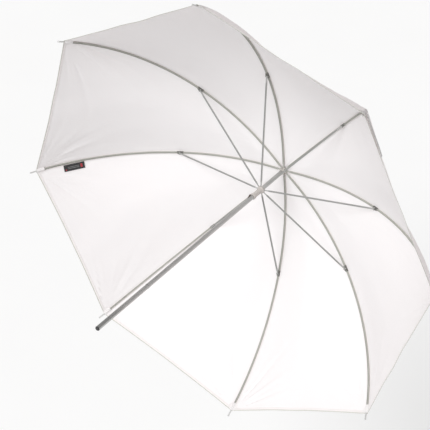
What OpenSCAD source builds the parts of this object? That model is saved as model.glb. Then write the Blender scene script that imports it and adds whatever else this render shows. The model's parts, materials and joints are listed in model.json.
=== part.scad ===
// Shoot-through studio umbrella with eight sprung ribs, opened by a sliding runner.
// Millimetres. The shaft lies along Y with the crown at +Y and the open bowl facing -Y.
// The origin is on the shaft's axis, in the middle of the stretch that a lamp's umbrella clamp grips.

/* [Canopy] */
// Distance from the shaft's axis to each corner of the canopy
rim_r = 420; // [380:5:460]
// Depth of the bowl, from the rib hinges down to the plane of the corners
bowl_depth = 224; // [200:2:250]
// Angle that each rib turns through from crown to corner
rib_turn = 65.3; // [55:0.1:75]
// Thickness of the cloth solid
cloth_t = 0.5; // [0.4:0.1:1]
// Inward bow of each gore at its middle, where it is deepest, between the joints and the hem
gore_bow = 11; // [0:1:16]
// How far each hem's middle is pulled in towards the crown
hem_scallop = 3; // [0:1:20]

/* [Ribs] */
// Width of the folded steel channel of a rib
rib_w = 3; // [2.6:0.1:3.4]
// Height of the rib channel
rib_h = 2.2; // [1.8:0.1:2.6]
// Wall of the rib channel
rib_wall = 0.45; // [0.35:0.05:0.6]
// Distance along the rib from the crown to the stretcher's joint, as a share of its length
joint_share = 0.43; // [0.38:0.01:0.46]
// Distance of the stretcher's rivet below the rib's middle line
rivet_drop = 3.2; // [3:0.1:4]
// Length of the bare tip that stands out of the corner
tip_out = 13; // [8:1:18]

/* [Stretchers] */
// Width of the stretcher channel
stretcher_w = 2.6; // [2.2:0.1:2.8]
// Height of the stretcher channel
stretcher_h = 1.8; // [1.6:0.1:2.2]

/* [Shaft] */
// Outer radius of the shaft tube
shaft_r = 4; // [3.8:0.1:4]
// Wall of the shaft tube
shaft_wall = 0.65; // [0.5:0.05:0.8]
// Length of plain tube that a clamp can grip, behind the stop bead
grip_len = 130; // [100:5:160]
// Radius of the circle of hinge wire in the crown and in the runner
hinge_r = 5.6; // [5.6:0.1:6]
// Outer radius of the notched heads of the crown and the runner
head_r = 7; // [7:0.1:7.6]
// Length of the runner below its hinge wire
runner_len = 29.5; // [25:0.5:34]
// Angle that each rib folds through
fold_max = 58; // [40:1:58]

/* [Hidden] */
$fn = 48;
RIBS = 8;
STEP = 360 / RIBS;
LABEL_RIB = 5;
STRAP_RIB = 2;
CATCH_ANGLE = 135;
INDEX = [for (k = [1:RIBS]) str(k)];
function numbered(name) = [for (i = INDEX) str(name, i)];

// The rib is one circular arc: the chord from hinge to corner sets its radius and its first slope.
chord_x = rim_r - hinge_r;
chord_len = sqrt(chord_x * chord_x + bowl_depth * bowl_depth);
bend_r = chord_len / (2 * sin(rib_turn / 2));
first_slope = atan2(bowl_depth, chord_x) - rib_turn / 2;
rib_len = bend_r * rib_turn * PI / 180;

// Slope of the rib below the radial direction, and its place, at a distance s from the hinge
function slope(s) = first_slope + s / bend_r * 180 / PI;
function arc_x(s) = hinge_r + bend_r * (sin(slope(s)) - sin(first_slope));
function arc_drop(s) = bend_r * (cos(first_slope) - cos(slope(s)));

// The rivet lies as far below the crown's wire as it lies above the runner's, so that the
// two links are equal and the runner moves straight along the shaft.
joint_s = joint_share * rib_len;
rivet_x = arc_x(joint_s) - rivet_drop * sin(slope(joint_s));
rivet_y = arc_drop(joint_s) + rivet_drop * cos(slope(joint_s));
link_dx = rivet_x - hinge_r;
link_len = sqrt(link_dx * link_dx + rivet_y * rivet_y);
link_rise = atan2(rivet_y, link_dx);
runner_drop = 2 * rivet_y;
runner_drop_folded = 2 * link_len * sin(link_rise + fold_max);

bead_w = 2;
bead_h = 0.4;
stop_gap = 0.5;
crown_y = grip_len / 2 + bead_w + stop_gap + runner_len + runner_drop_folded;
runner_y = crown_y - runner_drop;
shaft_end = -grip_len / 2;
shaft_top = crown_y + 12;
bore_r = shaft_r - shaft_wall;

wire_r = 0.45;
eye_bore = 0.6;
eye_r = 1.1;
slot_w = 2.2;
slot_r = shaft_r + 0.45;
tongue_t = 1.6;
tongue_len = 9;
channel_start = 7;
rivet_r = 0.8;
saddle_gap = 0.05;
saddle_wall = 0.5;
saddle_l = 12;
cheek_drop = rivet_drop + 0.5;
stretcher_wall = 0.4;
stretcher_eye_r = 1.6;

cloth_in = rib_h / 2 + 1.3;
cloth_s0 = 4;
cloth_rows = 20;
cloth_cols = 8;
panel_gap = 0.15;

catch_top = runner_y - runner_len - 0.4;
catch_len = 12;
catch_high = 2.8;
catch_t = 1.4;
catch_anchor = catch_top - 32;
catch_eye_x = 2.3;

// Puts a shape drawn in the XY plane, X outwards and Y along the shaft, at the angle of rib k.
module rib_frame(k) rotate([0, -(k - 1) * STEP, 0]) children();

// Puts a shape on the rib's middle line: X runs along the rib and Y points at the cloth.
module on_rib(s)
    translate([arc_x(s), crown_y - arc_drop(s), 0]) rotate([0, 0, -slope(s)]) children();

// A solid turned about the shaft's axis from a profile of [radius, height] points.
module turned(profile, y) translate([0, y, 0]) rotate([-90, 0, 0]) rotate_extrude() polygon(profile);

module flat_eye(r, t) translate([0, 0, -t / 2]) cylinder(r = r, h = t);
module eye_hole(r) translate([0, 0, -5]) cylinder(r = r, h = 10);

// ---- shaft ----

module shaft() color("silver") {
    difference() {
        union() {
            translate([0, shaft_end, 0]) rotate([-90, 0, 0]) cylinder(r = shaft_r, h = shaft_top - shaft_end);
            stop_bead();
        }
        translate([0, shaft_end - 1, 0]) rotate([-90, 0, 0])
            cylinder(r = bore_r, h = shaft_top - shaft_end + 2);
        catch_window();
    }
}

module stop_bead()
    turned([[bore_r + 0.1, 0], [shaft_r, 0], [shaft_r + bead_h, bead_w * 0.3],
            [shaft_r + bead_h, bead_w * 0.7], [shaft_r, bead_w], [bore_r + 0.1, bead_w]], grip_len / 2);

module catch_window()
    rotate([0, -CATCH_ANGLE, 0])
        translate([bore_r / 2, catch_top - catch_len - 2, -1]) cube([shaft_r, catch_len + 2.6, 2]);

module shaft_end_plug() color("dimgray")
    turned([[0, -2.2], [1.8, -2.2], [shaft_r - 0.6, -1.6], [shaft_r, -0.6], [shaft_r, 0], [bore_r - 0.03, 0],
            [bore_r - 0.03, 12], [bore_r - 0.6, 13], [0, 13]], shaft_end - 0.02);

// ---- crown and what stands on it ----

module wire_groove(y)
    turned([[slot_r + 0.55, -wire_r - 0.1], [head_r + 1, -wire_r - 0.1],
            [head_r + 1, wire_r + 0.1], [slot_r + 0.55, wire_r + 0.1]], y);

module hinge_slots(y, low, high)
    for (k = [1:RIBS]) rib_frame(k)
        translate([slot_r, y + low, -slot_w / 2]) cube([head_r, high - low, slot_w]);

module crown() color("darkgray") difference() {
    turned([[shaft_r + 0.02, -8], [4.9, -8], [4.9, -2.6], [head_r - 0.4, -2.6], [head_r, -2.2],
            [head_r, 1.5], [head_r - 0.4, 1.9], [5.2, 1.9], [5.2, 3.4], [shaft_r + 0.02, 3.4]], crown_y);
    hinge_slots(crown_y, -3, 1.4);
    wire_groove(crown_y);
}

module hinge_wire(y) translate([0, y, 0]) rotate([-90, 0, 0])
    rotate_extrude() translate([hinge_r, 0]) circle(r = wire_r);

module crown_hinge_wire() color("gray") hinge_wire(crown_y);

module canopy_washer() color("white")
    turned([[shaft_r + 0.05, 3.5], [8, 3.7], [17, 4.4], [17, 4.9], [8, 4.4], [shaft_r + 0.05, 4.2]], crown_y);

module outer_cap() color("dimgray")
    turned([[shaft_r + 0.03, 5.3], [8.4, 5.3], [8.8, 5.7], [8.8, 6.4], [7.6, 7.4], [6, 8], [5.4, 9.5],
            [5.4, 13], [4.4, 14.6], [2.4, 15.6], [0, 15.8], [0, 12.1], [shaft_r + 0.03, 12.1]], crown_y);

// ---- runner and its catch ----

module runner() color("lightgray") difference() {
    turned([[shaft_r + 0.12, -runner_len], [5.4, -runner_len], [5.8, -runner_len + 0.5],
            [5.8, -runner_len + 4], [5.2, -runner_len + 4.6], [4.9, -runner_len + 4.8],
            [4.9, -8], [5.6, -4], [head_r - 0.4, -2.6], [head_r, -2.2], [head_r, 2.1],
            [head_r - 0.4, 2.5], [shaft_r + 0.12, 2.5]], runner_y);
    hinge_slots(runner_y, -1.4, 3);
    wire_groove(runner_y);
}

module runner_hinge_wire() color("gray") hinge_wire(runner_y);

module catch_spring() color("saddlebrown") rotate([0, -CATCH_ANGLE, 0]) difference() {
    union() {
        translate([0, 0, -catch_t / 2]) linear_extrude(catch_t)
            polygon([[2.3, catch_top], [shaft_r + catch_high - 0.3, catch_top],
                     [shaft_r + catch_high, catch_top - 0.6], [shaft_r - 0.2, catch_top - catch_len],
                     [3, catch_top - catch_len - 1.2], [3, catch_anchor], [2.4, catch_anchor],
                     [2.4, catch_top - catch_len]]);
        translate([catch_eye_x, catch_anchor, 0]) flat_eye(0.9, catch_t);
    }
    translate([catch_eye_x, catch_anchor, 0]) eye_hole(0.4);
}

// ---- ribs ----

// The open side of the folded channel faces the bowl.
module rib_channel(from_s, to_s) {
    centre = [hinge_r - bend_r * sin(first_slope), crown_y - bend_r * cos(first_slope), 0];
    translate(centre) rotate([0, 0, 90 - slope(to_s)])
        rotate_extrude(angle = slope(to_s) - slope(from_s), $fn = 360)
            translate([bend_r, 0]) difference() {
                square([rib_h, rib_w], center = true);
                translate([-rib_wall, 0]) square([rib_h, rib_w - 2 * rib_wall], center = true);
            }
}

module rib(k) color("gray") rib_frame(k) difference() {
    union() {
        rib_channel(channel_start, rib_len - 6);
        on_rib(0) {
            translate([0, -0.9, -tongue_t / 2]) cube([tongue_len + 3, 1.8, tongue_t]);
            flat_eye(eye_r, tongue_t);
        }
    }
    on_rib(0) eye_hole(eye_bore);
}

module saddle_outline() {
    top = rib_h / 2 + saddle_gap + saddle_wall;
    polygon([[-saddle_l / 2, top], [saddle_l / 2, top], [saddle_l / 2, -1.2],
             [stretcher_eye_r, -cheek_drop], [-stretcher_eye_r, -cheek_drop], [-saddle_l / 2, -1.2]]);
}

module rib_saddle(k) color("dimgray") rib_frame(k) on_rib(joint_s) difference() {
    inner_w = rib_w + 2 * saddle_gap;
    outer_w = inner_w + 2 * saddle_wall;
    union() {
        translate([0, 0, -outer_w / 2]) linear_extrude(outer_w) saddle_outline();
        translate([0, -rivet_drop, 0]) flat_eye(stretcher_eye_r + 0.1, outer_w);
    }
    translate([-saddle_l, -10, -inner_w / 2]) cube([2 * saddle_l, 10 + rib_h / 2 + saddle_gap, inner_w]);
    translate([0, -rivet_drop, 0]) eye_hole(rivet_r + 0.02);
}

module saddle_rivet(k) color("gray") rib_frame(k) on_rib(joint_s) translate([0, -rivet_drop, 0]) {
    half = rib_w / 2 + saddle_gap + saddle_wall + 0.02;
    translate([0, 0, -half - 0.5]) cylinder(r = rivet_r, h = 2 * half + 1);
    for (side = [0, 1]) mirror([0, 0, side]) translate([0, 0, half]) cylinder(r1 = 1.4, r2 = 1, h = 0.6);
}

module rib_tip(k) color("lightgray") rib_frame(k) on_rib(rib_len) {
    translate([-5.9, 0, 0]) rotate([0, 90, 0]) cylinder(r = 1.35, h = tip_out + 4.9);
    translate([tip_out - 1, 0, 0]) rotate([0, 90, 0])
        rotate_extrude() polygon([[0, 0], [1.35, 0], [1.7, 0.5], [1.7, 1.8], [1.2, 2.4], [0, 2.4]]);
    translate([-14, -0.95, -0.95]) cube([9, 1.2, 1.9]);
}

// ---- stretchers ----

module stretcher(k) color("darkgray") rib_frame(k)
    translate([hinge_r, runner_y, 0]) rotate([0, 0, link_rise]) difference() {
        union() {
            stretcher_channel();
            flat_eye(eye_r, tongue_t);
            translate([0, -0.8, -tongue_t / 2]) cube([tongue_len + 3, 1.6, tongue_t]);
            translate([link_len, 0, 0]) flat_eye(stretcher_eye_r, 2.4);
            translate([link_len - tongue_len - 3, -0.8, -1.2]) cube([tongue_len + 3, 1.6, 2.4]);
        }
        eye_hole(eye_bore);
        translate([link_len, 0, 0]) eye_hole(rivet_r + 0.1);
    }

module stretcher_channel() difference() {
    hollow_len = link_len - 2 * tongue_len - 6;
    hollow_w = stretcher_w - 2 * stretcher_wall;
    translate([tongue_len, -stretcher_h / 2, -stretcher_w / 2])
        cube([link_len - 2 * tongue_len, stretcher_h, stretcher_w]);
    translate([tongue_len + 3, -stretcher_h / 2 - 1, -hollow_w / 2])
        cube([hollow_len, stretcher_h + 1 - stretcher_wall, hollow_w]);
}

// ---- canopy ----

// How the bow grows from the crown and fades to nothing at the tight hem, for a share of the way down
function bow_share(run) = let (r = min(max(run, 0), 1)) sin(180 * pow(r, 1.94));

// A point of the cloth at distance s along the ribs, t of the way from this rib to the next
// (negative towards the one before), and n outwards from the rib's middle line.
function cloth_point(s, t, n) =
    let (side = t < 0 ? -1 : 1, a = abs(t), x = arc_x(s) + n * sin(slope(s)), f = slope(s),
         bow = gore_bow * pow(4 * a * (1 - a), 2) * bow_share(s / rib_len), half = STEP / 2,
         out = x * (1 - a) + x * cos(STEP) * a - bow * sin(f) * cos(half),
         across = x * sin(STEP) * a - bow * sin(f) * sin(half))
    [out, crown_y - arc_drop(s) + n * cos(f) - bow * cos(f), side * across];

// Where the hem lies at t, and the largest t that leaves a gap to the next panel
function hem_s(t) = rib_len + 1 - hem_scallop * 4 * abs(t) * (1 - abs(t));
function half_gore(s) = 0.5 - panel_gap / (2 * arc_x(s) * sin(STEP / 2));

function cloth_grid(n) = [
    for (i = [0:cloth_rows], j = [0:cloth_cols])
        let (v = 2 * j / cloth_cols - 1, s = cloth_s0 + (hem_s(v / 2) - cloth_s0) * i / cloth_rows)
        cloth_point(s, v * half_gore(s), n)];

module canopy_panel(k) color("white") rib_frame(k) {
    row = cloth_cols + 1;
    top = row * (cloth_rows + 1);
    cells = [for (i = [0:cloth_rows - 1], j = [0:cloth_cols - 1]) i * row + j];
    inside = [for (p = cells) each [[p, p + row, p + 1], [p + 1, p + row, p + row + 1]]];
    outside = [for (f = inside) [f[2] + top, f[1] + top, f[0] + top]];
    last = cloth_rows * row;
    edge = concat([for (j = [0:cloth_cols - 1]) j], [for (i = [0:cloth_rows - 1]) i * row + cloth_cols],
                  [for (j = [cloth_cols:-1:1]) last + j], [for (i = [cloth_rows:-1:1]) i * row]);
    rim = [for (e = [0:len(edge) - 1]) let (a = edge[e], b = edge[(e + 1) % len(edge)])
        each [[a, b, a + top], [b, b + top, a + top]]];
    polyhedron(concat(cloth_grid(cloth_in), cloth_grid(cloth_in + cloth_t)), concat(inside, outside, rim));
}

// Puts a flat patch on the cloth with X along the rib, Y across it and Z outwards.
module on_cloth(s, t, n) {
    p = cloth_point(s, t, n);
    along = unit(cloth_point(s + 1, t, n) - cloth_point(s - 1, t, n));
    rough = unit(cloth_point(s, t + 0.02, n) - cloth_point(s, t - 0.02, n));
    out = unit(cross(along, rough)) * -1;
    over = cross(out, along);
    multmatrix([[along.x, over.x, out.x, p.x], [along.y, over.y, out.y, p.y],
                [along.z, over.z, out.z, p.z], [0, 0, 0, 1]]) children();
}
function unit(v) = v / norm(v);

module maker_label() color("black") rib_frame(LABEL_RIB)
    on_cloth(rib_len - 71, 0.035, cloth_in - 1.6) translate([-20.5, -6.5, 0]) cube([41, 13, 0.5]);

module tie_strap() color("whitesmoke") rib_frame(STRAP_RIB)
    on_cloth(rib_len - 12, -0.125, cloth_in + cloth_t + 0.5) translate([-8, -35, 0]) cube([16, 70, 0.8]);

// ---- everything ----

shaft();
shaft_end_plug();
crown();
crown_hinge_wire();
outer_cap();
canopy_washer();
catch_spring();
runner();
runner_hinge_wire();
maker_label();
tie_strap();
for (k = [1:RIBS]) {
    rib(k);
    rib_saddle(k);
    saddle_rivet(k);
    rib_tip(k);
    stretcher(k);
    canopy_panel(k);
}
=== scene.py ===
"""A white shoot-through studio umbrella: sprung steel ribs on a crown, stretchers on a sliding runner,
and a translucent nylon canopy sewn from eight gores. Everything is in metres, in the CAD frame:
the shaft lies along Y with the crown at +Y, the bowl opens towards -Y, and rib 1 points along +X."""

import json
import math
import random

import bpy
import numpy as np
from mathutils import Matrix, Vector


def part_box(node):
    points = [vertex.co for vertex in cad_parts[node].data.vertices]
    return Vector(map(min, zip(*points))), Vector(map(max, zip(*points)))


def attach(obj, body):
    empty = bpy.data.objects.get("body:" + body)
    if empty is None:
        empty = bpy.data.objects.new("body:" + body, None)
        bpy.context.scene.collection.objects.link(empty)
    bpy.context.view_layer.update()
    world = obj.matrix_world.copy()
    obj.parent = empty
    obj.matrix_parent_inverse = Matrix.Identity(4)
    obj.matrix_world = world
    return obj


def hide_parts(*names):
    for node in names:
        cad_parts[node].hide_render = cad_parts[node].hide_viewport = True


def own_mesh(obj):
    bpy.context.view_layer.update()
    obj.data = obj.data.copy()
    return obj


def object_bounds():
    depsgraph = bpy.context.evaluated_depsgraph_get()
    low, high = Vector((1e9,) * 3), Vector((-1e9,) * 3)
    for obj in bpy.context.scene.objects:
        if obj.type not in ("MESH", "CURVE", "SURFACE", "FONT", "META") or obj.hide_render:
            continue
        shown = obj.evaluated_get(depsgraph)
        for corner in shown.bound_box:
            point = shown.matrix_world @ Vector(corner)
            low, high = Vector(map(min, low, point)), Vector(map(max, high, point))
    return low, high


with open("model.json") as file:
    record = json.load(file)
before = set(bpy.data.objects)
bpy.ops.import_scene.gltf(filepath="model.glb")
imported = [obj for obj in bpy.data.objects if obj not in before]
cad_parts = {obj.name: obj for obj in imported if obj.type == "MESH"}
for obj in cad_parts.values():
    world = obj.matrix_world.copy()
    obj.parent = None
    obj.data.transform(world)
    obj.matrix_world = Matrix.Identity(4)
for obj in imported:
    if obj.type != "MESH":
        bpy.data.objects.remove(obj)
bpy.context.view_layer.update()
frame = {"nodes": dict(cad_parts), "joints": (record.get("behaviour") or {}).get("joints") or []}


# ---- Shaft ----
# The shaft is one drawn steel tube, 8 mm across, polished and plated. It carries the crown at one end
# and goes into the lamp's umbrella hole at the other. Plating shows faint lines along the draw, and
# the clamp and the runner have rubbed it duller in places.

def link(tree, out_socket, in_socket):
    tree.links.new(out_socket, in_socket)


def new_group(name, inputs, outputs):
    """A shader node group with number or colour sockets, its tree, and its two end nodes."""
    tree = bpy.data.node_groups.new(name, "ShaderNodeTree")
    for in_out, sockets in (("INPUT", inputs), ("OUTPUT", outputs)):
        for label, default in sockets:
            kind = "NodeSocketFloat" if isinstance(default, (int, float)) else "NodeSocketColor"
            socket = tree.interface.new_socket(name=label, in_out=in_out, socket_type=kind)
            socket.default_value = default if kind == "NodeSocketFloat" else (*default, 1)
    return tree, tree.nodes.new("NodeGroupInput"), tree.nodes.new("NodeGroupOutput")


def math_node(tree, operation, first, second=None, clamp=False):
    node = tree.nodes.new("ShaderNodeMath")
    node.operation = operation
    node.use_clamp = clamp
    for socket, value in zip(node.inputs, (first, second)):
        if isinstance(value, (int, float)):
            socket.default_value = value
        elif value is not None:
            link(tree, value, socket)
    return node.outputs[0]


def mixed_colours(tree, share, first, second):
    node = tree.nodes.new("ShaderNodeMix")
    node.data_type = "RGBA"
    for socket, value in ((node.inputs[0], share), (node.inputs[6], first), (node.inputs[7], second)):
        if isinstance(value, (int, float)):
            socket.default_value = value
        elif isinstance(value, tuple):
            socket.default_value = (*value, 1)
        else:
            link(tree, value, socket)
    return node.outputs[2]


def noise(tree, vector, scale, detail=3, stretch=(1, 1, 1)):
    """Noise of about one blotch per 1/scale metres, stretched along an axis where stretch is small."""
    mapping = tree.nodes.new("ShaderNodeMapping")
    mapping.inputs["Scale"].default_value = stretch
    link(tree, vector, mapping.inputs["Vector"])
    node = tree.nodes.new("ShaderNodeTexNoise")
    node.inputs["Scale"].default_value = scale
    node.inputs["Detail"].default_value = detail
    link(tree, mapping.outputs[0], node.inputs["Vector"])
    return node.outputs["Fac"]


def object_coordinates(tree):
    return tree.nodes.new("ShaderNodeTexCoord").outputs["Object"]


def worn_metal_group():
    """Metal or paint with fine lines along the shaft's direction, rubbed blotches and small pits."""
    tree, start, end = new_group(
        "worn_metal",
        [("Clean Colour", (0.5, 0.5, 0.5)), ("Rubbed Colour", (0.6, 0.6, 0.6)), ("Rubbed Share", 0.5),
         ("Roughness Low", 0.25), ("Roughness High", 0.45), ("Line Strength", 0.3)],
        [("Colour", (0.5, 0.5, 0.5)), ("Roughness", 0.3), ("Height", 0.0)])
    place = object_coordinates(tree)
    blotches = noise(tree, place, 55, 5)
    lines = noise(tree, place, 1500, 2, stretch=(1, 0.03, 1))
    pits = noise(tree, place, 900, 4)
    rubbed = math_node(tree, "SMOOTH_MAX", math_node(tree, "SUBTRACT", blotches, 0.47), 0.0)
    rubbed = math_node(tree, "MULTIPLY", rubbed, start.outputs["Rubbed Share"])
    rubbed = math_node(tree, "MULTIPLY", rubbed, 4.0, clamp=True)
    link(tree, mixed_colours(tree, rubbed, start.outputs["Clean Colour"], start.outputs["Rubbed Colour"]),
         end.inputs["Colour"])
    spread = math_node(tree, "SUBTRACT", start.outputs["Roughness High"], start.outputs["Roughness Low"])
    level = math_node(tree, "MULTIPLY", spread, math_node(tree, "ADD", rubbed, lines))
    link(tree, math_node(tree, "ADD", start.outputs["Roughness Low"], level), end.inputs["Roughness"])
    grooves = math_node(tree, "MULTIPLY", lines, start.outputs["Line Strength"])
    link(tree, math_node(tree, "ADD", grooves, math_node(tree, "MULTIPLY", pits, 0.25)), end.inputs["Height"])
    return tree


WORN_METAL = worn_metal_group()


def new_material(name):
    material = bpy.data.materials.new(name)
    material.use_nodes = True
    tree = material.node_tree
    tree.nodes.clear()
    shader = tree.nodes.new("ShaderNodeBsdfPrincipled")
    output = tree.nodes.new("ShaderNodeOutputMaterial")
    link(tree, shader.outputs[0], output.inputs["Surface"])
    return material, tree, shader, output


def placed_group(tree, group, values):
    node = tree.nodes.new("ShaderNodeGroup")
    node.node_tree = group
    for label, value in values.items():
        node.inputs[label].default_value = value if isinstance(value, (int, float)) else (*value, 1)
    return node


def bumped(tree, shader, height, strength, depth):
    bump = tree.nodes.new("ShaderNodeBump")
    bump.inputs["Strength"].default_value = strength
    bump.inputs["Distance"].default_value = depth
    link(tree, height, bump.inputs["Height"])
    link(tree, bump.outputs["Normal"], shader.inputs["Normal"])


def metal(name, clean, rubbed, low, high, share=0.5, lines=0.3, metallic=1.0, bump=0.25):
    material, tree, shader, _ = new_material(name)
    group = placed_group(tree, WORN_METAL, {
        "Clean Colour": clean, "Rubbed Colour": rubbed, "Rubbed Share": share,
        "Roughness Low": low, "Roughness High": high, "Line Strength": lines})
    link(tree, group.outputs["Colour"], shader.inputs["Base Color"])
    link(tree, group.outputs["Roughness"], shader.inputs["Roughness"])
    bumped(tree, shader, group.outputs["Height"], bump, 0.00012)
    shader.inputs["Metallic"].default_value = metallic
    return material


def dress(node, material):
    """Gives a CAD piece its finish."""
    slots = frame["nodes"][node].data.materials
    slots.clear()
    slots.append(material)


plated_steel = metal("plated_steel", (0.47, 0.47, 0.46), (0.4, 0.4, 0.39), 0.1, 0.18, share=0.4, bump=0.06)
dress("shaft", plated_steel)


# ---- End plug and outer cap ----
# Two small mouldings in black nylon: the plug pressed into the tube's free end, and the cap pushed
# over the shaft's top outside the cloth. Both have the slight orange-peel grain of their moulds.

def moulded_plastic_group():
    """Moulded plastic: fine grain, slow colour drift and scuffs that are a little paler."""
    tree, start, end = new_group(
        "moulded_plastic",
        [("Plastic Colour", (0.5, 0.5, 0.5)), ("Scuff Colour", (0.6, 0.6, 0.6)), ("Base Roughness", 0.45)],
        [("Colour", (0.5, 0.5, 0.5)), ("Roughness", 0.45), ("Height", 0.0)])
    place = object_coordinates(tree)
    drift = noise(tree, place, 90, 2)
    scuffs = noise(tree, place, 420, 5, stretch=(1, 0.25, 1))
    share = math_node(tree, "MULTIPLY", math_node(tree, "SUBTRACT", scuffs, 0.52), 3.0, clamp=True)
    link(tree, mixed_colours(tree, share, start.outputs["Plastic Colour"], start.outputs["Scuff Colour"]),
         end.inputs["Colour"])
    rough = math_node(tree, "ADD", start.outputs["Base Roughness"], math_node(tree, "MULTIPLY", share, 0.2))
    rough = math_node(tree, "ADD", rough, math_node(tree, "MULTIPLY", drift, 0.08))
    link(tree, rough, end.inputs["Roughness"])
    link(tree, noise(tree, place, 1600, 3), end.inputs["Height"])
    return tree


MOULDED_PLASTIC = moulded_plastic_group()


def plastic(name, colour, scuffed, roughness):
    material, tree, shader, _ = new_material(name)
    group = placed_group(tree, MOULDED_PLASTIC, {
        "Plastic Colour": colour, "Scuff Colour": scuffed, "Base Roughness": roughness})
    link(tree, group.outputs["Colour"], shader.inputs["Base Color"])
    link(tree, group.outputs["Roughness"], shader.inputs["Roughness"])
    bumped(tree, shader, group.outputs["Height"], 0.2, 0.0001)
    return material


black_nylon = plastic("black_nylon", (0.03, 0.03, 0.032), (0.07, 0.07, 0.07), 0.42)
dress("shaft_end_plug", black_nylon)
dress("outer_cap", black_nylon)


# ---- Crown ----
# The crown, or top notch, is a small cast ring with eight slots, crimped round the shaft. A loop of
# drawn steel wire runs in its groove through the eyes of all eight ribs, and is their common hinge.

cast_alloy = metal("cast_alloy", (0.55, 0.53, 0.5), (0.4, 0.38, 0.36), 0.42, 0.6, lines=0.1, metallic=0.3)
drawn_wire = metal("drawn_wire", (0.4, 0.39, 0.37), (0.3, 0.29, 0.28), 0.3, 0.45)
dress("crown", cast_alloy)
dress("crown_hinge_wire", drawn_wire)


# ---- Ribs ----
# Each rib is a long strip of sprung steel folded into a channel, painted olive grey, and bent to a
# curve by the canopy. A dark pressed saddle clips round it where its stretcher's rivet goes through,
# and a blunt pale pin closes its end and stands out of the cloth.

RIBS = range(1, 9)
rib_paint = metal("rib_paint", (0.42, 0.42, 0.385), (0.5, 0.5, 0.46), 0.38, 0.52, lines=0.5, metallic=0.15)
saddle_steel = metal("saddle_steel", (0.14, 0.14, 0.13), (0.22, 0.215, 0.2), 0.42, 0.6, metallic=0.5)
rivet_steel = metal("rivet_steel", (0.5, 0.5, 0.48), (0.35, 0.35, 0.33), 0.25, 0.4)
tip_metal = metal("tip_metal", (0.68, 0.68, 0.67), (0.56, 0.56, 0.55), 0.3, 0.42, metallic=0.6)
for k in RIBS:
    dress(f"rib_{k}", rib_paint)
    dress(f"rib_saddle_{k}", saddle_steel)
    dress(f"saddle_rivet_{k}", rivet_steel)
    dress(f"rib_tip_{k}", tip_metal)


# ---- Stretchers ----
# A stretcher is a thin straight steel channel, painted a plain grey a little darker than the ribs', with
# a flattened eye at each end: one on its rib's rivet, the other on the runner's wire.

stretcher_paint = metal("stretcher_paint", (0.35, 0.35, 0.34), (0.43, 0.43, 0.42), 0.35, 0.5, metallic=0.2)
for k in RIBS:
    dress(f"stretcher_{k}", stretcher_paint)


# ---- Runner and catch ----
# The runner is a warm grey moulding that slides on the shaft: a notched head for the stretchers' wire,
# a slim body and a collar. Below it the dark tooth of the catch stands out of a window in the tube;
# it is a strip of blued spring steel, hooked inside, and holds the runner up.

runner_plastic = plastic("runner_plastic", (0.46, 0.43, 0.405), (0.55, 0.52, 0.5), 0.4)
blued_spring = metal("blued_spring", (0.09, 0.065, 0.05), (0.17, 0.13, 0.11), 0.3, 0.5, metallic=0.7)
dress("runner", runner_plastic)
dress("runner_hinge_wire", drawn_wire)
dress("catch_spring", blued_spring)


# ---- Canopy cloth ----
# The canopy is thin white nylon taffeta that light goes through: eight gores sewn edge to edge along
# the ribs and pulled tight, with fans of small creases out of the corners. It is built as eight
# sectors, from mid gore to mid gore, whose edges and normals meet, so that each can follow its rib.

MM = 0.001
RIM_RADIUS, BOWL_DEPTH = 420 * MM, 224 * MM
RIB_TURN = math.radians(65.3)
HINGE = Vector(next(joint["pos_m"] for joint in frame["joints"] if joint["name"] == "rib_1_fold"))
HALF_GORE = math.pi / len(RIBS)
RIB_CHORD = math.hypot(RIM_RADIUS - HINGE.x, BOWL_DEPTH)
BEND = RIB_CHORD / (2 * math.sin(RIB_TURN / 2))
FIRST_SLOPE = math.atan2(BOWL_DEPTH, RIM_RADIUS - HINGE.x) - RIB_TURN / 2
RIB_LENGTH = BEND * RIB_TURN
CLOTH_START = 4 * MM  # down the rib from its hinge
CLOTH_LIFT = 2.6 * MM  # from the rib's middle line out to the cloth
GORE_BOW, BOW_SKEW = 11 * MM, 1.94  # a larger skew brings the deepest bow nearer the hem
HEM_SCALLOP, HEM_OVERRUN = 3 * MM, 1 * MM
CREASE_SEED, BILLOW_SEED = 11, 40
CREASES_A_CORNER, CREASE_SPACING = 6, 13  # the spacing is in degrees
CREASE_DEPTH = 1.3 * MM
CREASE_ONSET = 35 * MM
PUCKER_SPACING, PUCKER_REACH, PUCKER_DEPTH = 12 * MM, 22 * MM, 0.16 * MM


def rib_slope(s):
    return FIRST_SLOPE + s / BEND


def gore_width(s):
    radius = HINGE.x + BEND * (np.sin(rib_slope(s)) - math.sin(FIRST_SLOPE))
    return 2 * radius * math.sin(HALF_GORE)


def hem_at(u):
    return RIB_LENGTH + HEM_OVERRUN - HEM_SCALLOP * 4 * u * (1 - u)


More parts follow.
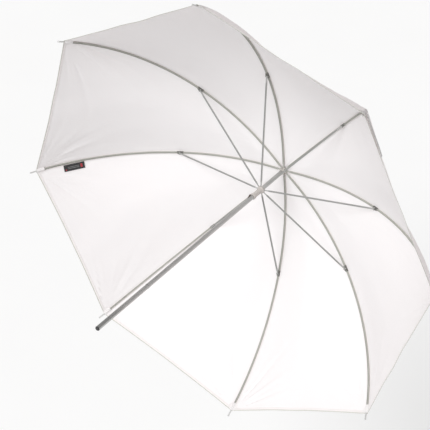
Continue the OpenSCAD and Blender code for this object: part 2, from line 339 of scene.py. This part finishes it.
def corner_folds():
    """Creases that tension draws out of each gore's two corners. Each has its angle off the rib, a share of
    CREASE_DEPTH, its width in radians, where it starts and ends in metres from the corner, and its curl.
    The corners pulled hardest, given as gore and side, have more of them, in degrees."""
    chance = random.Random(CREASE_SEED)
    folds = {}
    for gore in RIBS:
        for side in (0, 1):
            folds[gore, side] = [
                (math.radians(9 + CREASE_SPACING * i + chance.uniform(-5, 5)),
                 chance.choice((-1, 1)) * chance.uniform(0.3, 0.8),
                 chance.uniform(0.035, 0.07), chance.uniform(0.01, 0.05), chance.uniform(0.1, 0.26),
                 chance.uniform(-0.15, 0.15)) for i in range(CREASES_A_CORNER)]
    pulled_hard = {
        (4, 0): ((13, 2.2, 0.05, 0.015, 0.3, 0.0), (22, -1.8, 0.06, 0.03, 0.28, 0.05),
                 (58, 1.0, 0.05, 0.05, 0.24, 0.2)),
        (4, 1): ((13, 1.5, 0.05, 0.015, 0.13, -0.1), (30, -1.9, 0.09, 0.04, 0.17, -0.25),
                 (41, 1.2, 0.06, 0.05, 0.2, -0.2)),
        (7, 0): ((27, 2.6, 0.06, 0.01, 0.2, 0.1), (50, -2.2, 0.07, 0.02, 0.19, 0.15),
                 (68, 1.8, 0.05, 0.02, 0.15, 0.0)),
        (7, 1): ((24, 1.8, 0.06, 0.02, 0.18, 0.1), (47, -1.6, 0.06, 0.03, 0.2, 0.0)),
        (5, 0): ((38, -1.6, 0.06, 0.02, 0.2, 0.1), (58, 1.6, 0.06, 0.02, 0.18, 0.0)),
        (2, 1): ((20, 1.4, 0.05, 0.02, 0.24, 0.1), (48, -1.3, 0.06, 0.04, 0.24, 0.0))}
    for corner, creases in pulled_hard.items():
        folds[corner] += [(math.radians(crease[0]), *crease[1:]) for crease in creases]
    return folds


CORNER_FOLDS = corner_folds()
BILLOWS = {gore: [random.Random(BILLOW_SEED + gore).uniform(0, 6.28) for _ in range(4)] for gore in RIBS}


def cloth_lift(gore, s, u):
    """How far the cloth stands proud of its plain tight shape: creases from the corners, slow billows,
    puckers beside the seams and gathers round the crown."""
    lift = np.zeros_like(s)
    for side, share in ((0, u), (1, 1 - u)):
        down, across = np.maximum(hem_at(u) - s, 0), gore_width(s) * share
        reach, angle = np.hypot(down, across), np.arctan2(across, down + 1e-9)
        for where, height, width, begin, end, curl in CORNER_FOLDS[gore, side]:
            onset = np.clip((reach - begin) / CREASE_ONSET, 0, 1)
            fade = np.clip((end - reach) / (end - begin), 0, 1)
            off = angle - where - curl * (reach / end) ** 2
            ridge = np.exp(-(off / width) ** 2) * onset ** 2 * (3 - 2 * onset) * fade ** 1.5
            lift += height * CREASE_DEPTH * ridge
    a, b, c, d = BILLOWS[gore]
    between_ribs = np.sin(np.pi * u) ** 2
    run = s / RIB_LENGTH
    lift += between_ribs * run * MM * (0.9 * np.sin(9 * run + a) + 0.6 * np.sin(14 * u + 5 * run + b))
    lift += between_ribs * run ** 2 * MM * 0.5 * np.sin(23 * u - 11 * run + c)
    from_rib = gore_width(s) * np.minimum(u, 1 - u)
    puckers = np.sin(from_rib * 2 * np.pi / PUCKER_SPACING + 2 * np.sin(7 * run + d))
    puckers *= np.exp(-from_rib / PUCKER_REACH) * np.clip(from_rib / (5 * MM), 0, 1)
    lift += PUCKER_DEPTH * puckers * run
    gathers = np.exp(-s / (50 * MM)) * np.sin(4 * np.pi * u) ** 2
    return lift + gathers * 0.5 * MM * np.sin(18 * u + d)


def rib_before(k):
    return len(RIBS) if k == 1 else k - 1


def rib_direction(k):
    angle = (k - 1) * 2 * HALF_GORE
    return np.array([math.cos(angle), 0, math.sin(angle)])


def cloth(gore, s, u, n=0.0, creased=True):
    """Points of the canopy: gore 1 runs from rib 1 (u = 0) to rib 2 (u = 1), s metres down from the crown,
    n metres outside the sheet's own middle."""
    s, u = np.broadcast_arrays(np.asarray(s, float), np.asarray(u, float))
    slope = rib_slope(s)
    n = CLOTH_LIFT + n + (cloth_lift(gore, s, u) if creased else 0)
    radius = HINGE.x + BEND * (np.sin(slope) - math.sin(FIRST_SLOPE)) + n * np.sin(slope)
    bow = GORE_BOW * (4 * u * (1 - u)) ** 2 * np.sin(math.pi * np.clip(s / RIB_LENGTH, 0, 1) ** BOW_SKEW)
    middle = rib_direction(gore + 0.5)
    outward = (1 - u)[..., None] * rib_direction(gore) + u[..., None] * rib_direction(gore + 1)
    points = radius[..., None] * outward - (bow * np.sin(slope))[..., None] * middle
    drop = BEND * (math.cos(FIRST_SLOPE) - np.cos(slope))
    points[..., 1] += HINGE.y - drop + n * np.cos(slope) - bow * np.cos(slope)
    return points


def cloth_normals(gore, s, u):
    """Normals of the creased surface, pointing out of the bowl."""
    step = 0.4 * MM
    share = step / np.maximum(gore_width(s), 5 * MM)
    low, high = np.clip(u - share, 0, 1), np.clip(u + share, 0, 1)
    down = cloth(gore, s + step, u) - cloth(gore, s - step, u)
    over = cloth(gore, s, high) - cloth(gore, s, low)
    normals = np.cross(over, down)
    return normals / np.linalg.norm(normals, axis=-1, keepdims=True)


def sector_side(k, a):
    """The gore, and the share of the way across it, for a share a of the way from rib k to the next one,
    or to the one before where a is negative."""
    return (k, a) if a[-1] > 0 else (rib_before(k), 1 + a)


def new_piece(name, points, faces, material, normals=None, uvs=None):
    mesh = bpy.data.meshes.new(name)
    mesh.from_pydata(np.asarray(points).reshape(-1, 3).tolist(), [], faces)
    mesh.polygons.foreach_set("use_smooth", [True] * len(mesh.polygons))
    mesh.update()
    if uvs is not None:
        layer = mesh.uv_layers.new(name="cloth")
        layer.data.foreach_set("uv", np.asarray(uvs, np.float32).ravel())
    if normals is not None:
        mesh.normals_split_custom_set(np.asarray(normals).reshape(-1, 3).tolist())
    mesh.materials.append(material)
    piece = bpy.data.objects.new(name, mesh)
    bpy.context.scene.collection.objects.link(piece)
    return piece


def strip_faces(rows, columns, start=0, flip=False):
    """Quads of a grid of points, rows by columns."""
    quads = [(start + i * columns + j, start + (i + 1) * columns + j,
              start + (i + 1) * columns + j + 1, start + i * columns + j + 1)
             for i in range(rows - 1) for j in range(columns - 1)]
    return [q[::-1] for q in quads] if flip else quads


def woven_cloth_group():
    """Plain weave from the piece's own cloth coordinates: threads, slubs and slow unevenness."""
    tree, start, end = new_group(
        "woven_cloth",
        [("Cloth Colour", (0.9, 0.9, 0.9)), ("Thin Colour", (0.85, 0.85, 0.85)),
         ("Threads Per Metre", 2500.0), ("Base Roughness", 0.6), ("Wrinkle Height", 0.0)],
        [("Colour", (0.9, 0.9, 0.9)), ("Roughness", 0.6), ("Height", 0.0)])
    uv = tree.nodes.new("ShaderNodeUVMap")
    uv.uv_map = "cloth"
    split = tree.nodes.new("ShaderNodeSeparateXYZ")
    link(tree, uv.outputs[0], split.inputs[0])
    waves = []
    for axis in (0, 1):
        phase = math_node(tree, "MULTIPLY", split.outputs[axis], start.outputs["Threads Per Metre"])
        waves.append(math_node(tree, "SINE", math_node(tree, "MULTIPLY", phase, math.pi)))
    weave = math_node(tree, "MULTIPLY", waves[0], waves[1])
    warp_slubs = noise(tree, uv.outputs[0], 260, 3, stretch=(1, 0.06, 1))
    weft_slubs = noise(tree, uv.outputs[0], 260, 3, stretch=(0.06, 1, 1))
    slubs = math_node(tree, "ADD", warp_slubs, weft_slubs)
    cloudy = noise(tree, object_coordinates(tree), 9, 3)
    share = math_node(tree, "MULTIPLY", math_node(tree, "SUBTRACT", slubs, 0.8), 0.9, clamp=True)
    share = math_node(tree, "MULTIPLY", math_node(tree, "ADD", share, cloudy), 0.3)
    link(tree, mixed_colours(tree, share, start.outputs["Cloth Colour"], start.outputs["Thin Colour"]),
         end.inputs["Colour"])
    rough = math_node(tree, "ADD", start.outputs["Base Roughness"], math_node(tree, "MULTIPLY", slubs, 0.06))
    link(tree, rough, end.inputs["Roughness"])
    wrinkles = noise(tree, uv.outputs[0], 26, 3, stretch=(1, 0.22, 1))
    wrinkles = math_node(tree, "MULTIPLY", wrinkles, start.outputs["Wrinkle Height"])
    link(tree, math_node(tree, "ADD", math_node(tree, "ADD", weave, slubs), wrinkles), end.inputs["Height"])
    return tree


WOVEN_CLOTH = woven_cloth_group()


def woven(name, colour, thin_colour, roughness, threads=2500.0, see_through=0.0,
          glow=(0.9, 0.8, 0.79), bump=0.12, wrinkles=0.0):
    """Cloth. Where see_through is above 0, that share of the light passes through, tinted by glow."""
    material, tree, shader, output = new_material(name)
    group = placed_group(tree, WOVEN_CLOTH, {
        "Cloth Colour": colour, "Thin Colour": thin_colour, "Threads Per Metre": threads,
        "Base Roughness": roughness, "Wrinkle Height": wrinkles})
    link(tree, group.outputs["Colour"], shader.inputs["Base Color"])
    link(tree, group.outputs["Roughness"], shader.inputs["Roughness"])
    bumped(tree, shader, group.outputs["Height"], bump, 0.0001)
    shader.inputs["Specular IOR Level"].default_value = 0.3
    shader.inputs["Sheen Weight"].default_value = 0.08
    if see_through:
        passing = tree.nodes.new("ShaderNodeBsdfTranslucent")
        passing.inputs["Color"].default_value = (*glow, 1)
        both = tree.nodes.new("ShaderNodeMixShader")
        both.inputs["Fac"].default_value = see_through
        link(tree, shader.outputs[0], both.inputs[1])
        link(tree, passing.outputs[0], both.inputs[2])
        link(tree, both.outputs[0], output.inputs["Surface"])
    return material


white_nylon = woven("white_nylon", (0.86, 0.87, 0.882), (0.85, 0.845, 0.85), 0.55, see_through=0.36,
                    glow=(0.93, 0.81, 0.795), wrinkles=160.0)


def crossing(columns):
    """Shares of the gore across a half sector, closer together near the rib."""
    return 0.5 * np.linspace(0, 1, columns) ** 1.15


def cloth_piece(k, name, rows, columns):
    """The cloth on rib k, from mid gore to mid gore, as two halves that share the seam's points."""
    points, normals, uvs, faces = [], [], [], []
    down = np.linspace(0, 1, rows)[:, None]
    for sign in (1, -1):
        a = sign * crossing(columns)
        gore, u = sector_side(k, a)
        u = np.broadcast_to(u, (rows, columns))
        s = CLOTH_START + (hem_at(u) - CLOTH_START) * down
        grid, grid_normals = cloth(gore, s, u), cloth_normals(gore, s, u)
        half_faces = strip_faces(rows, columns, flip=sign > 0)
        flat = np.stack([(u - 0.5) * gore_width(s), s], -1).reshape(-1, 2)
        loop_order = np.array(half_faces).ravel()
        normals.append(grid_normals.reshape(-1, 3)[loop_order])
        uvs.append(flat[loop_order])
        if sign > 0:
            points.append(grid.reshape(-1, 3))
            faces += half_faces
            continue
        renumbered = np.empty(rows * columns, int)  # the rib's own column is already there
        own = np.arange(rows * columns).reshape(rows, columns)
        renumbered[own[:, 0]] = own[:, 0]
        renumbered[own[:, 1:].ravel()] = rows * columns + np.arange(rows * (columns - 1))
        points.append(grid[:, 1:].reshape(-1, 3))
        faces += [tuple(int(renumbered[v]) for v in face) for face in half_faces]
    return new_piece(name, np.concatenate(points), faces, white_nylon, np.concatenate(normals),
                     np.concatenate(uvs))


def follow_cloth(piece, k):
    """A piece of the canopy gets a mesh of its own and rides on its rib."""
    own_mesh(piece)
    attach(piece, f"rib_{k}")


CLOTH_ROWS, CLOTH_COLUMNS = ((130, 44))
canopy = {k: cloth_piece(k, f"canopy_cloth_{k}", CLOTH_ROWS, CLOTH_COLUMNS) for k in RIBS}


# ---- Seams, hems and corner pockets ----
# The gores' edges are sewn together on the inside and pressed flat, a narrow double strip over each
# rib. The hem is turned in once, and its rolled edge is painted grey-green: painted shade standing in
# for the shade along the thick roll. At each corner a doubled patch of the same nylon makes the pocket
# that the rib's end is pushed into.

doubled_nylon = woven("doubled_nylon", (0.87, 0.86, 0.855), (0.84, 0.81, 0.8), 0.6, see_through=0.25,
                      bump=0.2)
pocket_nylon = woven("pocket_nylon", (0.83, 0.82, 0.82), (0.79, 0.77, 0.76), 0.6, see_through=0.2,
                     bump=0.3)
# Painted shade: the hem's rolled edge is coloured a darker grey-green to stand in for the shade along the
# roll.
hem_edge_painted_shade = woven("hem_edge_painted_shade", (0.53, 0.53, 0.49), (0.6, 0.6, 0.56), 0.7, threads=900.0, bump=0.5)
SEAM_HALF, SEAM_GAP = 3.6 * MM, 0.22 * MM
HEM_DEPTH = 5.2 * MM
POCKET_LENGTH, POCKET_HALF, POCKET_MOUTH = 16 * MM, 15 * MM, 0.36
POCKET_BULGE, POCKET_RIDGE = 4.6 * MM, 2.9 * MM


def lofted(name, rings, material):
    """A strip through equal rings of points, given as an array of rings by points."""
    rings = np.asarray(rings)
    count, across = rings.shape[:2]
    faces = strip_faces(count, across)
    along = np.concatenate([[0], np.cumsum(np.linalg.norm(np.diff(rings[:, 0], axis=0), axis=-1))])
    over = np.concatenate([[0], np.cumsum(np.linalg.norm(np.diff(rings[0], axis=0), axis=-1))])
    flat = np.stack(np.meshgrid(along, over, indexing="ij"), -1).reshape(-1, 2)
    return new_piece(name, rings, faces, material, uvs=flat[np.array(faces).ravel()])


def share_across(s, distance):
    """The share of the gore's width that a distance from the rib makes."""
    return distance / gore_width(s)


def seam_strip(k):
    """The pressed seam allowance, just inside the cloth, bent over the rib's ridge."""
    s = np.linspace(CLOTH_START + 6 * MM, RIB_LENGTH - 8 * MM, 110)
    before = rib_before(k)
    reach = SEAM_HALF * np.clip(gore_width(s) / 0.02, 0.2, 1)
    columns = []
    for part in (-1, -0.96, -0.5, 0, 0.5, 0.96, 1):
        u = share_across(s, reach * abs(part))
        gap = -SEAM_GAP if abs(part) < 1 else -0.02 * MM
        columns.append(cloth(k, s, u, gap) if part >= 0 else cloth(before, s, 1 - u, gap))
    return lofted(f"canopy_seam_{k}", np.stack(columns, 1), doubled_nylon)


TURNED_HEM = [(HEM_DEPTH, -0.03), (HEM_DEPTH - 0.3 * MM, -0.28), (HEM_DEPTH / 2, -0.34), (0.8 * MM, -0.3)]
HEM_EDGE = [(1.3 * MM, -0.28), (0.8 * MM, -0.55), (0.1 * MM, -0.62), (-0.5 * MM, -0.4), (-0.7 * MM, 0.0),
            (-0.45 * MM, 0.34), (0.2 * MM, 0.42), (0.8 * MM, 0.22), (1.1 * MM, 0.02)]


def hem_strip(k, name, profile, material):
    """A strip along the hem of rib k's sector; its profile gives distances in from the hem and heights."""
    rings = []
    for a in np.linspace(-0.5, 0.5, 75):
        gore, u = sector_side(k, np.array([a]) if a else np.array([1e-9]))
        depth, height = np.array(profile).T
        s = hem_at(u) - depth
        rings.append(cloth(gore, s, np.full_like(s, u[0]), height * MM))
    return lofted(f"{name}_{k}", rings, material)


def pocket(k):
    """The corner pocket: a patch inside the cloth that bulges over the rib's end, with its mouth uphill."""
    before = rib_before(k)
    rings = []
    for run in np.linspace(0, 1, 16):
        s = RIB_LENGTH + HEM_OVERRUN + 0.4 * MM - POCKET_LENGTH * (1 - run)
        half = POCKET_HALF * (POCKET_MOUTH + (1 - POCKET_MOUTH) * run)
        ring = []
        for part in np.linspace(-1, 1, 33):
            u = share_across(s, half * abs(part))
            bulge = POCKET_BULGE * math.exp(-(half * part / POCKET_RIDGE) ** 2) * (1 - 0.3 * run ** 4)
            lift = -(0.3 * MM + bulge) * (1 if abs(part) < 1 else 0.1)
            gore, u = (k, u) if part >= 0 else (before, 1 - u)
            ring.append(cloth(gore, np.array(s), np.array(u), lift))
        rings.append(ring)
    return lofted(f"corner_pocket_{k}", rings, pocket_nylon)


for k in RIBS:
    trims = [seam_strip(k), hem_strip(k, "turned_hem", TURNED_HEM, doubled_nylon),
             hem_strip(k, "hem_edge", HEM_EDGE, hem_edge_painted_shade), pocket(k)]
    for piece in (canopy[k], *trims):
        follow_cloth(piece, k)
    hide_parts(f"canopy_panel_{k}")


# ---- Hub washer ----
# A small disc of the same nylon, doubled, lies over the point where the gores meet and keeps the cap
# from cutting them. Its edge is pinked and dips a little between the ribs.

def hub_washer(outer, inner, top):
    rings = []
    for turn in np.linspace(0, 2 * math.pi, 193):
        teeth = 0.5 * MM * abs(math.sin(24 * turn))
        dip = 0.4 * MM * math.cos(8 * turn)
        ring = []
        for share in np.linspace(0, 1, 9):
            r = inner + (outer - teeth - inner) * share
            height = top - 0.9 * MM + 0.8 * MM * share ** 2 + dip * share ** 3
            ring.append((r * math.cos(turn), height, r * math.sin(turn)))
        rings.append(ring)
    return lofted("hub_washer", rings, doubled_nylon)


washer_radius, washer_top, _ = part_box("canopy_washer")[1]
SHAFT_HOLE, WASHER_CLOTH_SHARE = 4.1 * MM, 0.94  # the hole takes the rest of the disc
washer = hub_washer(washer_radius, SHAFT_HOLE, washer_top)
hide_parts("canopy_washer")
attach(washer, "shaft")


# ---- Label ----
# A black satin tag, caught by its upper edge in the seam beside one corner. It has a red bar woven in
# at its crown end, a red fleck at the other, two thin grey lines between them, and no lettering.

def cloth_frame(gore, s, u, n):
    """A place on the cloth and three directions there: down the rib, across it, and out of the bowl."""
    at = cloth(gore, np.array(s), np.array(u), n, creased=False)
    down = cloth(gore, np.array(s + MM), np.array(u), n, creased=False) - at
    over = cloth(gore, np.array(s), np.array(u + 0.01), n, creased=False) - at
    down = Vector(down).normalized()
    out = -down.cross(Vector(over)).normalized()
    return Matrix.Translation(Vector(at)) @ Matrix((down, out.cross(down), out)).transposed().to_4x4()


def closed_tag(name, length, width, thickness, shape, place, material):
    """A thin closed tag: shape(x, y) gives its height, x along and y across it, from -1 to 1."""
    rows, columns = 50, 18
    xs, ys = np.linspace(-1, 1, rows), np.linspace(-1, 1, columns)
    points = []
    for side in (1, -1):
        for x in xs:
            for y in ys:
                edge = min(1 - abs(x), (1 - abs(y)) * width / length) * length / 2
                half = thickness / 2 * min(1, 0.35 + edge / (0.8 * MM))
                points.append((x * length / 2, y * width / 2, shape(x, y) + side * half))
    count = rows * columns
    faces = strip_faces(rows, columns) + strip_faces(rows, columns, start=count, flip=True)
    border = (list(range(columns)) + [i * columns + columns - 1 for i in range(1, rows)]
              + [(rows - 1) * columns + j for j in range(columns - 2, -1, -1)]
              + [i * columns for i in range(rows - 2, 0, -1)])
    faces += [(a, b, b + count, a + count) for a, b in zip(border, border[1:] + border[:1])]
    uvs = np.array(points)[:, :2][np.array([v for face in faces for v in face])]
    moved = [place @ Vector(p) for p in points]
    return new_piece(name, [tuple(p) for p in moved], faces, material, uvs=uvs)


def label_material():
    """Black satin with a red bar at one end, a red fleck at the other and two thin grey lines between."""
    material, tree, shader, _ = new_material("label_satin")
    group = placed_group(tree, WOVEN_CLOTH, {
        "Cloth Colour": (0.012, 0.012, 0.013), "Thin Colour": (0.035, 0.035, 0.036),
        "Threads Per Metre": 1800.0, "Base Roughness": 0.5})
    uv = tree.nodes.new("ShaderNodeUVMap")
    uv.uv_map = "cloth"
    split = tree.nodes.new("ShaderNodeSeparateXYZ")
    link(tree, uv.outputs[0], split.inputs[0])

    def band(axis, low, high):
        above = math_node(tree, "GREATER_THAN", split.outputs[axis], low)
        return math_node(tree, "MULTIPLY", above, math_node(tree, "LESS_THAN", split.outputs[axis], high))

    bar = math_node(tree, "MULTIPLY", band(0, -0.0162, -0.0122), band(1, -0.0034, 0.0034))
    fleck = math_node(tree, "MULTIPLY", band(0, 0.0152, 0.0176), band(1, -0.0048, -0.0022))
    red = math_node(tree, "ADD", bar, fleck, clamp=True)
    lines = math_node(tree, "ADD", band(1, 0.0008, 0.0016), band(1, -0.0020, -0.0012))
    lines = math_node(tree, "MULTIPLY", lines, band(0, -0.0095, 0.0125))
    greyed = mixed_colours(tree, math_node(tree, "MULTIPLY", lines, 0.6), group.outputs["Colour"],
                           (0.3, 0.3, 0.3))
    link(tree, mixed_colours(tree, red, greyed, (0.33, 0.02, 0.03)), shader.inputs["Base Color"])
    link(tree, group.outputs["Roughness"], shader.inputs["Roughness"])
    bumped(tree, shader, group.outputs["Height"], 0.4, 0.0001)
    shader.inputs["Sheen Weight"].default_value = 0.2
    return material


LABEL_LENGTH, LABEL_WIDTH, LABEL_THICKNESS = 41 * MM, 13 * MM, 0.7 * MM
label_place = cloth_frame(5, RIB_LENGTH - 71 * MM, 0.035, -1.75 * MM)
label = closed_tag("maker_tag", LABEL_LENGTH, LABEL_WIDTH, LABEL_THICKNESS,
                   lambda x, y: 0.35 * MM * math.sin(2.2 * x + 0.5) - 0.5 * MM * max(y, 0) ** 2,
                   label_place, label_material())
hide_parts("maker_label")
follow_cloth(label, 5)


# ---- Tie strap ----
# The strap that ties the folded umbrella is a band of grey nylon, folded double. It is sewn to the
# outside of one hem by its corner, and lies along the hem while the umbrella is open.

STRAP_LENGTH, STRAP_WIDTH, STRAP_THICKNESS = 70 * MM, 16 * MM, 0.8 * MM
strap_place = cloth_frame(1, RIB_LENGTH - 12 * MM, 0.875, 1.5 * MM) @ Matrix.Rotation(math.pi / 2, 4, "Z")
strap_nylon = woven("strap_nylon", (0.62, 0.61, 0.6), (0.52, 0.51, 0.5), 0.65, threads=1400.0, bump=0.4)
strap = closed_tag("tie_band", STRAP_LENGTH, STRAP_WIDTH, STRAP_THICKNESS,
                   lambda x, y: 0.3 * MM * math.sin(3.5 * x) + 0.12 * MM * math.cos(5 * y),
                   strap_place, strap_nylon)
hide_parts("tie_strap")
follow_cloth(strap, 2)


# ---- Studio ----
# A plain pale floor well below the umbrella, dim even light from all round, and one broad soft light
# from above and in front of the bowl.

def soft_sun(name, towards, strength, softness):
    """Even light over the whole set from one direction, softness degrees wide, as from a large far panel."""
    lamp = bpy.data.lights.new(name, "SUN")
    lamp.energy, lamp.angle = strength, math.radians(softness)
    holder = bpy.data.objects.new(name, lamp)
    holder.rotation_euler = Vector(towards).to_track_quat("-Z", "Y").to_euler()
    bpy.context.scene.collection.objects.link(holder)


floor_drop, floor_size = 1.3, 60
floor_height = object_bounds()[0].z - floor_drop
floor_material, floor_tree, floor_shader, _ = new_material("pale_floor")
floor_noise = noise(floor_tree, object_coordinates(floor_tree), 3, 3)
floor_colour = mixed_colours(floor_tree, floor_noise, (0.97, 0.97, 0.97), (0.95, 0.95, 0.95))
link(floor_tree, floor_colour, floor_shader.inputs["Base Color"])
floor_shader.inputs["Roughness"].default_value = 0.9
corners = [(x * floor_size, y * floor_size, floor_height) for x, y in ((-1, -1), (1, -1), (1, 1), (-1, 1))]
floor = new_piece("floor", corners, [(0, 1, 2, 3)], floor_material)

soft_sun("front_light", towards=(-0.05, 1.1, -1.0), strength=2.55, softness=30)
fill_strength, backdrop_extra = 0.46, 0.5
world = bpy.data.worlds.new("studio")
world.use_nodes = True
world_tree = world.node_tree
backdrop = world_tree.nodes["Background"]
backdrop.inputs["Color"].default_value = (1, 0.995, 0.99, 1)
seen = world_tree.nodes.new("ShaderNodeLightPath").outputs["Is Camera Ray"]
brighter = math_node(world_tree, "MULTIPLY", seen, backdrop_extra)
link(world_tree, math_node(world_tree, "ADD", brighter, fill_strength), backdrop.inputs["Strength"])
bpy.context.scene.world = world
bpy.context.scene.view_settings.view_transform = "Standard"

view_azimuth, view_elevation, view_roll = math.radians(37.26), math.radians(32.3), math.radians(4.85)
view_distance, focal_length = 2.0, 107.7
aim = Vector((0.127, 0.0994, 0.1593))
back = Vector((math.sin(view_azimuth) * math.cos(view_elevation),
               -math.cos(view_azimuth) * math.cos(view_elevation), math.sin(view_elevation)))
level_right = Vector((math.cos(view_azimuth), math.sin(view_azimuth), 0))
level_up = back.cross(level_right)
right = level_right * math.cos(view_roll) - level_up * math.sin(view_roll)
up = level_up * math.cos(view_roll) + level_right * math.sin(view_roll)
camera_data = bpy.data.cameras.new("camera")
camera_data.lens, camera_data.sensor_width = focal_length, 36
camera = bpy.data.objects.new("camera", camera_data)
camera.matrix_world = (Matrix.Translation(aim + back * view_distance)
                       @ Matrix((right, up, back)).transposed().to_4x4())
bpy.context.scene.collection.objects.link(camera)
bpy.context.scene.camera = camera
